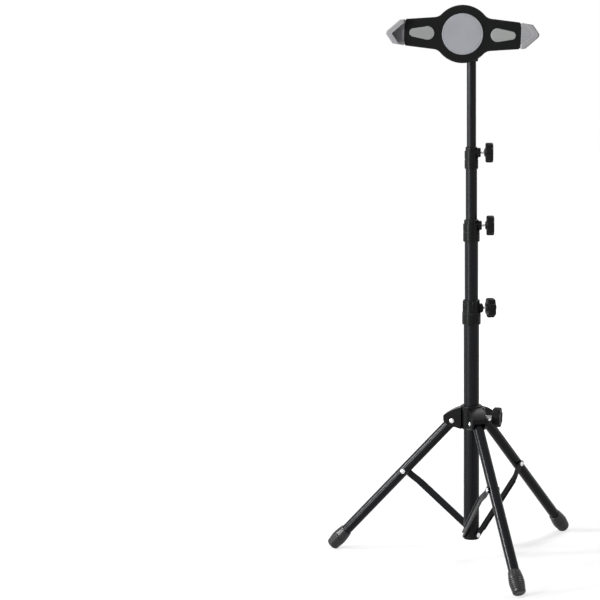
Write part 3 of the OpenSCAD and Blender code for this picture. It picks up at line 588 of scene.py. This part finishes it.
def threaded(low, high, radius):
    """A screw: a plain core and one thread wound round it."""
    core = radius - thread_depth
    profile = [(0, low), (core - screw_tip, low), (core, low + screw_tip), (core, high), (0, high)]
    shank = spun(profile, shank_steps)
    wind = bmesh.new()
    start = low + thread_pitch
    points = [wind.verts.new(co) for co in (
        (core - thread_root, 0, start - thread_flank), (radius, 0, start - thread_crest),
        (radius, 0, start + thread_crest), (core - thread_root, 0, start + thread_flank))]
    edges = [wind.edges.new(pair) for pair in zip(points, points[1:] + points[:1])]
    bmesh.ops.contextual_create(wind, geom=edges)
    turns = int((high - low) / thread_pitch) - 2
    bmesh.ops.spin(wind, geom=wind.verts[:] + wind.edges[:] + wind.faces[:], cent=(0, 0, 0), axis=(0, 0, 1),
                   dvec=(0, 0, thread_pitch / thread_steps), angle=2 * math.pi * turns,
                   steps=thread_steps * turns)
    bmesh.ops.recalc_face_normals(wind, faces=wind.faces)
    return gathered([shank, wind])


def lobe_dip(turn):
    """How far a round scallop cuts into a knob's rim at an angle, as a share of the rim's radius."""
    off = (turn * knob_lobes / (2 * math.pi) % 1 - 0.5) * 2 * math.pi / knob_lobes
    reach = scallop_r ** 2 - (scallop_at * math.sin(off)) ** 2
    return max(0, 1 - scallop_at * math.cos(off) + math.sqrt(reach)) if reach > 0 else 0


def lofted(loops):
    """A closed skin over loops of points, from a cap on the first to a cap on the last."""
    work = bmesh.new()
    rings = []
    for points in loops:
        corners = [work.verts.new(point) for point in points]
        rings.append([work.edges.new(pair) for pair in zip(corners, corners[1:] + corners[:1])])
    for ring, after in zip(rings, rings[1:]):
        bmesh.ops.bridge_loops(work, edges=ring + after)
    for ring in (rings[0], rings[-1]):
        bmesh.ops.contextual_create(work, geom=ring)
    bmesh.ops.recalc_face_normals(work, faces=work.faces)
    return work


def lobed_ring(radius, share, height):
    """A loop round a knob; share is how much of the scallops shows at that height."""
    points = []
    for step in range(knob_steps):
        turn = 2 * math.pi * step / knob_steps
        dips = [lobe_dip(turn + math.radians(aside)) for aside in scallop_softening]
        reach = radius * (1 - share * sum(dips) / len(dips))
        points.append((reach * math.cos(turn), reach * math.sin(turn), height))
    return points


def lobed_knob(low, high, rim):
    """A moulded knob: loops of radius, share of the scallops and height up its neck, side and dished face."""
    back = low + knob_neck
    neck = [
        (0.34 * rim, 0, low), (0.36 * rim, 0, low + 0.2 * mm),
        (0.45 * rim, 0, back), (0.62 * rim, 0.2, back),
    ]
    side = [
        (rim - 2.2 * mm, 0.9, back + 0.1 * mm), (rim - 1.1 * mm, 1, back + 0.35 * mm),
        (rim - 0.4 * mm, 1, back + 0.9 * mm), (rim - 0.1 * mm, 1, back + 1.7 * mm), (rim, 1, back + 2.6 * mm),
        (rim, 1, high - 2.6 * mm), (rim - 0.1 * mm, 1, high - 1.8 * mm), (rim - 0.4 * mm, 1, high - 1.0 * mm),
        (rim - 1.1 * mm, 1, high - 0.4 * mm), (rim - 2.2 * mm, 0.9, high - 0.15 * mm),
    ]
    dish = [
        (0.66 * rim, 0.4, high), (0.56 * rim, 0, high), (0.50 * rim, 0, high - 0.4 * mm),
        (0.43 * rim, 0, high - 1.15 * mm), (0.36 * rim, 0, high - 1.35 * mm),
        (0.05 * rim, 0, high - 1.55 * mm),
    ]
    return lofted([lobed_ring(*loop) for loop in neck + side + dish])


for knob, screw, nut in clamps:
    place = out_along(screw)
    low, high = span(screw, place)
    dress(screw, put(threaded(low.z, high.z, high.x), place), screw_steel)
    back, face = span(knob, place)
    dress(knob, put(lobed_knob(back.z, face.z, knob_r), place), black_plastic)
    dress(nut, ease(copied(nut), nut_edge, 2), nut_brass)

# Collars: clamp rings of moulded plastic, pressed on the upper ends of the three outer tubes. Each has a
# narrow neck and a boss for its clamp, and the neck of the lower one is ribbed.
collar_edge = 0.22 * mm
for node in ("collar_lower", "collar_middle", "collar_upper"):
    dress(node, ease(copied(node), collar_edge), satin_plastic)

# Head: a moulded plastic stem that turns on the top tube and ends in an eye. A plated bolt with a washer and
# a nut clamps the eye to the bracket's knuckle, and sets how stiffly the holder tilts. The holder turns on a
# pin in the bracket, over a pale friction ring.
head_edge = 0.4 * mm
bolt_edge = 0.25 * mm
ring_edge = 0.15 * mm
dress("head_stem", ease(copied("head_stem"), head_edge), black_plastic)
dress("swivel_bracket", ease(copied("swivel_bracket"), head_edge), black_plastic)
for node in ("tilt_bolt", "tilt_nut", "tilt_washer", "swivel_pin"):
    dress(node, ease(copied(node), bolt_edge, 2), screw_steel)
dress("swivel_ring", ease(copied("swivel_ring"), ring_edge, 2), pale_plastic)

# Case: two moulded plastic halves of the holder, screwed together from behind over the sliding arms and
# springs. Their outer rims slope and are rounded, and the recessed screws have cross slots.
case_edge = 0.3 * mm
rim_drop = 1.0 * mm
rim_tolerance = 0.02 * mm
pad_margin = 1.0 * mm
holder_at = Vector((-12 * mm, 0, 739.5 * mm))
holder_roll = 2.2
holder_frame = Matrix.Translation(holder_at) @ turned(holder_roll, "Y") @ turned(90, "X")
pad_r = 28 * mm
drop_near = 47.6 * mm
drop_far = 66.9 * mm
drop_wide = 9.2 * mm
drop_narrow = 5.6 * mm
case_screw_head_r = 2.8 * mm
case_screw_shank_r = 1.5 * mm
slot_steps = 48


def on_pad(point):
    """True over the recess of a pad, in the frame of the holder."""
    if math.hypot(point.x, point.y) < pad_r + pad_margin:
        return True
    return abs(point.x) < drop_far + drop_narrow + pad_margin and abs(point.y) < drop_wide + pad_margin


def sloped_rim(node, face, way):
    """A copy of a case half whose stepped rim is drawn up into a slope; way is 1 for a rim at the front."""
    work = put(merged(node), holder_frame.inverted())
    step = Vector((0, 0, way * rim_drop))
    for vertex in work.verts:
        if abs(vertex.co.z - (face - way * rim_drop)) > rim_tolerance or on_pad(vertex.co):
            continue
        over = [edge.other_vert(vertex) for edge in vertex.link_edges]
        if any((other.co - vertex.co - step).length < rim_tolerance for other in over):
            vertex.co.z = face
    bmesh.ops.remove_doubles(work, verts=work.verts, dist=cad_weld_gap)
    return put(joined(work), holder_frame)


back_face = span("holder_back", holder_frame)[0].z
front_face = span("holder_front", holder_frame)[1].z
for node, face, way in (("holder_back", back_face, -1), ("holder_front", front_face, 1)):
    dress(node, ease(sloped_rim(node, face, way), case_edge), black_plastic)


def star_ring(radius, depth, height):
    """A loop with four rounded arms of a depth, for the slot of a screw, or a plain ring with none."""
    loop = []
    for step in range(slot_steps):
        turn = 2 * math.pi * step / slot_steps
        reach = radius * (1 - depth * (0.5 - 0.5 * math.cos(4 * turn)))
        loop.append((reach * math.cos(turn), reach * math.sin(turn), height))
    return loop


def case_screw(low, high):
    """A pan-headed screw along Z with its head at the bottom: loops of its slot, head and shank."""
    slot = [(0.5 * mm, 0.5, low + 1.1 * mm), (1.4 * mm, 0.62, low + 0.9 * mm), (1.6 * mm, 0.6, low)]
    head = [
        (2.2 * mm, 0, low), (2.6 * mm, 0, low + 0.2 * mm), (case_screw_head_r, 0, low + 0.6 * mm),
        (case_screw_head_r, 0, low + 1.5 * mm),
    ]
    shank = [
        (case_screw_shank_r, 0, low + 1.6 * mm), (case_screw_shank_r, 0, high - 0.6 * mm),
        (0.9 * mm, 0, high),
    ]
    return lofted([star_ring(*loop) for loop in slot + head + shank])


low, high = span("holder_screws", holder_frame)
screw_x = high.x - case_screw_head_r
screw_y = high.y - case_screw_head_r
screws = []
for along, up in ((1, 1), (-1, 1), (-1, -1), (1, -1)):
    place = holder_frame @ Matrix.Translation((along * screw_x, up * screw_y, 0))
    screws.append(put(case_screw(low.z, high.z), place))
dress("holder_screws", gathered(screws), screw_steel)

# Pads and grips: grey rubber. The pads are glued into recesses of the case, and the corner grips are moulded
# round the tongues of the arms. Handling has darkened the rubber a little in clouds.
pad_greys = ((0.270, 0.280, 0.300), (0.335, 0.345, 0.368))
drop_greys = ((0.262, 0.271, 0.264), (0.318, 0.328, 0.321))
grip_greys = ((0.272, 0.272, 0.283), (0.330, 0.330, 0.344))
pad_round = 0.8 * mm
rim_steps = 5
drop_steps = 32
pad_steps = 144
groove_inset = (2.0, 2.25, 2.5, 2.75, 3.0, 3.4)
groove_depth = (0, 0.12, 0.3, 0.12, 0, 0)
grip_edge = 0.3 * mm


def soft_grey(name, greys):
    grey = Finish(name, {"Specular IOR Level": 0.25})
    cloud = grey.noise(55, 3.0)
    grain = grey.noise(2400, 3.0)
    grey.set({
        "Base Color": grey.colours(*greys, 0.7 * cloud + 0.3 * grain),
        "Roughness": 0.56 + 0.16 * cloud,
        "Normal": grey.bump(grain, 0.02 * mm),
    })
    return grey


def drop_ring(grow, height, way):
    """A loop round a drop-shaped pad, wide towards the holder's centre; way is 1 right or -1 left."""
    wide = drop_wide + grow
    narrow = drop_narrow + grow
    lean = math.asin((wide - narrow) / (drop_far - drop_near))
    points = []
    for middle, radius, start, sweep in (
            (drop_far, narrow, lean - math.pi / 2, math.pi - 2 * lean),
            (drop_near, wide, math.pi / 2 - lean, math.pi + 2 * lean)):
        for step in range(drop_steps + 1):
            turn = start + sweep * step / drop_steps
            points.append((way * (middle + radius * math.cos(turn)), way * radius * math.sin(turn), height))
    return points


def rounded_rim(front):
    """Height and inset of the loops up a pad's rounded rim."""
    turns = [math.pi / 2 * step / rim_steps for step in range(rim_steps + 1)]
    return [(front - pad_round * (1 - math.sin(turn)), pad_round * (1 - math.cos(turn))) for turn in turns]


pad_rubber = soft_grey("pad_rubber", pad_greys)
drop_rubber = soft_grey("drop_rubber", drop_greys)
grip_rubber = soft_grey("grip_rubber", grip_greys)
low, high = span("center_pad", holder_frame)
pad_profile = [(0, low.z), (pad_r, low.z)]
pad_profile += [(pad_r - inset, height) for height, inset in rounded_rim(high.z)]
for inset, depth in zip(groove_inset, groove_depth):
    pad_profile.append((pad_r - inset * mm, high.z - depth * mm))
pad_profile.append((0, high.z))
dress("center_pad", put(spun(pad_profile, pad_steps), holder_frame), pad_rubber)
for node, way in (("pad_left", -1), ("pad_right", 1)):
    loops = [drop_ring(0, low.z, way)]
    loops += [drop_ring(-inset, height, way) for height, inset in rounded_rim(high.z)]
    dress(node, put(lofted(loops), holder_frame), drop_rubber)
for node in ("grip_left", "grip_right"):
    dress(node, ease(copied(node), grip_edge), grip_rubber)

# Arms and springs: flat moulded sliders in the case, each drawn in by a steel tension spring. A spring hooks
# on a post of the case and on a post of its arm, and stretches as the arm is pulled out.
wire_r = 0.45 * mm
wire_sides = 8
coil_r = 1.65 * mm
hook_r = 2.4 * mm
hook_steps = 32
coil_turns = 52
coil_steps = 14
spring_lead = 3 * mm
spring_cap_edge = 0.3 * mm
spring_cap_steps = 24
arm_edge = 0.3 * mm


def wire_ring(center):
    """A circle of the wire's section, standing in the plane of XZ."""
    work = bmesh.new()
    bmesh.ops.create_circle(work, segments=wire_sides, radius=wire_r)
    return put(work, Matrix.Translation(center) @ turned(90, "X"))


def rod(low, high, radius, steps):
    return spun([(0, low), (radius, low), (radius, high), (0, high)], steps)


def tension_spring(fixed, pulled):
    """A spring along Z from a hook round a post at one height to a hook round a post at the other."""
    first = fixed + hook_r + spring_lead
    last = pulled - hook_r - spring_lead
    coil = wire_ring((coil_r, 0, first))
    steps = coil_turns * coil_steps
    bmesh.ops.spin(coil, geom=coil.verts[:] + coil.edges[:], cent=(0, 0, 0), axis=(0, 0, 1),
                   dvec=(0, 0, (last - first) / steps), angle=2 * math.pi * coil_turns, steps=steps)
    bmesh.ops.holes_fill(coil, edges=coil.edges)
    parts = [coil]
    for post, end in ((fixed, first), (pulled, last)):
        hook = wire_ring((hook_r, 0, 0))
        bmesh.ops.spin(hook, geom=hook.verts[:] + hook.edges[:], cent=(0, 0, 0), axis=(0, 0, 1),
                       angle=2 * math.pi, steps=hook_steps, use_merge=True)
        parts.append(put(hook, Matrix.Translation((0, 0, post)) @ turned(90, "X")))
        near = post + math.copysign(hook_r, end - post)
        parts.append(rod(min(near, end), max(near, end), wire_r, wire_sides))
        cap = rod(end - wire_r, end + wire_r, coil_r + wire_r, spring_cap_steps)
        parts.append(ease(cap, spring_cap_edge))
    for work in parts:
        bmesh.ops.recalc_face_normals(work, faces=work.faces)
    return gathered(parts)


for node in ("arm_left", "arm_right"):
    dress(node, ease(copied(node), arm_edge, 2), black_plastic)
for node, body, half_turn in (("spring_left", "left_slider", 180), ("spring_right", "right_slider", 0)):
    place = holder_frame @ turned(half_turn, "Z")
    low, high = span(node, place)
    middle = (low + high) / 2
    place = place @ Matrix.Translation((0, middle.y, middle.z)) @ turned(90, "Y")
    fixed = low.x + hook_r + wire_r
    pulled = high.x - hook_r - wire_r
    spring = shown(node, put(tension_spring(fixed, pulled), place), screw_steel)
    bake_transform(spring)

# Floor: plain matt white. To the eye it is as bright as the background further out, and the stand's soft
# shadow is left on it.
floor_half = 8.0
floor_drop = 0.05 * mm
near_glow = 0.60
glow_from = 0.3
glow_to = 1.4


def seen_share(web):
    """1 for what the camera sees, straight or through a mirror or glass, and 0 for other light."""
    rays = ("Is Camera Ray", "Is Glossy Ray", "Is Transmission Ray")
    camera, glossy, clear = (web.node("ShaderNodeLightPath", {}, {}, ray) for ray in rays)
    seen = camera + glossy + clear
    return seen.math("MINIMUM", seen, 1)


floor_paint = Finish("white_floor", {
    "Base Color": (0.4, 0.4, 0.4, 1),
    "Roughness": 1.0,
    "Specular IOR Level": 0.0,
    "Emission Strength": 1.0,
})
distance = floor_paint.node(
    "ShaderNodeVectorMath", {"operation": "LENGTH"}, {0: floor_paint.place()}, "Value")
spread = floor_paint.ramp(distance, glow_from, glow_to)
glow = seen_share(floor_paint) * (near_glow + (1 - near_glow) * spread)
floor_paint.set({"Emission Color": floor_paint.colours((0, 0, 0), (1, 1, 1), glow)})
work = bmesh.new()
bmesh.ops.create_grid(work, x_segments=1, y_segments=1, size=floor_half)
bmesh.ops.translate(work, verts=work.verts, vec=(0, 0, -floor_drop))
floor_mesh = bpy.data.meshes.new("studio_floor")
work.to_mesh(floor_mesh)
work.free()
floor_mesh.materials.append(floor_paint.material)
studio_floor = bpy.data.objects.new("studio_floor", floor_mesh)
scene.collection.objects.link(studio_floor)

# Light: a white room with five softboxes. A tall narrow key stands left in front, a weak fill right in
# front, a small one far left for the legs, one overhead, and one high behind for the back of the holder.
scene.world = bpy.data.worlds.new("white_room")
scene.world.use_nodes = True
room = Web(scene.world.node_tree)
room_light = 0.14
background = scene.world.node_tree.nodes["Background"]
room.plug(background.inputs["Color"], (1, 1, 1, 1))
room.plug(background.inputs["Strength"], room_light + (1 - room_light) * seen_share(room))
aim = Vector((0, 0, 0.42))
softboxes = {
    "key_softbox": ((-1.85, -1.6, 0.8), 0.22, 1.6, 62),
    "fill_softbox": ((1.7, -1.3, 0.8), 0.8, 1.4, 3),
    "left_softbox": ((-1.9, -0.33, 0.92), 0.24, 0.5, 36),
    "top_softbox": ((-0.5, 0.1, 2.1), 0.6, 0.6, 9),
    "rear_softbox": ((0.9, 1.7, 2.2), 1.0, 1.0, 40),
}
for name, (spot, width, height, power) in softboxes.items():
    lamp = bpy.data.lights.new(name, "AREA")
    lamp.shape = "RECTANGLE"
    lamp.size = width
    lamp.size_y = height
    lamp.energy = power
    softbox = bpy.data.objects.new(name, lamp)
    softbox.location = spot
    softbox.rotation_euler = (aim - softbox.location).to_track_quat("-Z", "Y").to_euler()
    scene.collection.objects.link(softbox)

# Camera: a long lens in front of the mast, level with the holder and looking a little down. It is turned and
# shifted so that the stand is right of the middle of the picture.
lens_pixels = 2017.28
picture_pixels = 600
sensor = 36
camera_at = Vector((0, -2.8, 0.7715))
pan = 3.187
pitch = 7.315
roll = -0.399
shift = (-0.1, -0.05)
camera_data = bpy.data.cameras.new("camera")
camera_data.sensor_width = sensor
camera_data.lens = sensor * lens_pixels / picture_pixels
camera_data.shift_x, camera_data.shift_y = shift
camera = bpy.data.objects.new("camera", camera_data)
camera.matrix_world = (Matrix.Translation(camera_at) @ turned(pan, "Z") @ turned(90 - pitch, "X")
                       @ turned(roll, "Z"))
scene.collection.objects.link(camera)
scene.camera = camera
scene.view_settings.view_transform = "Standard"
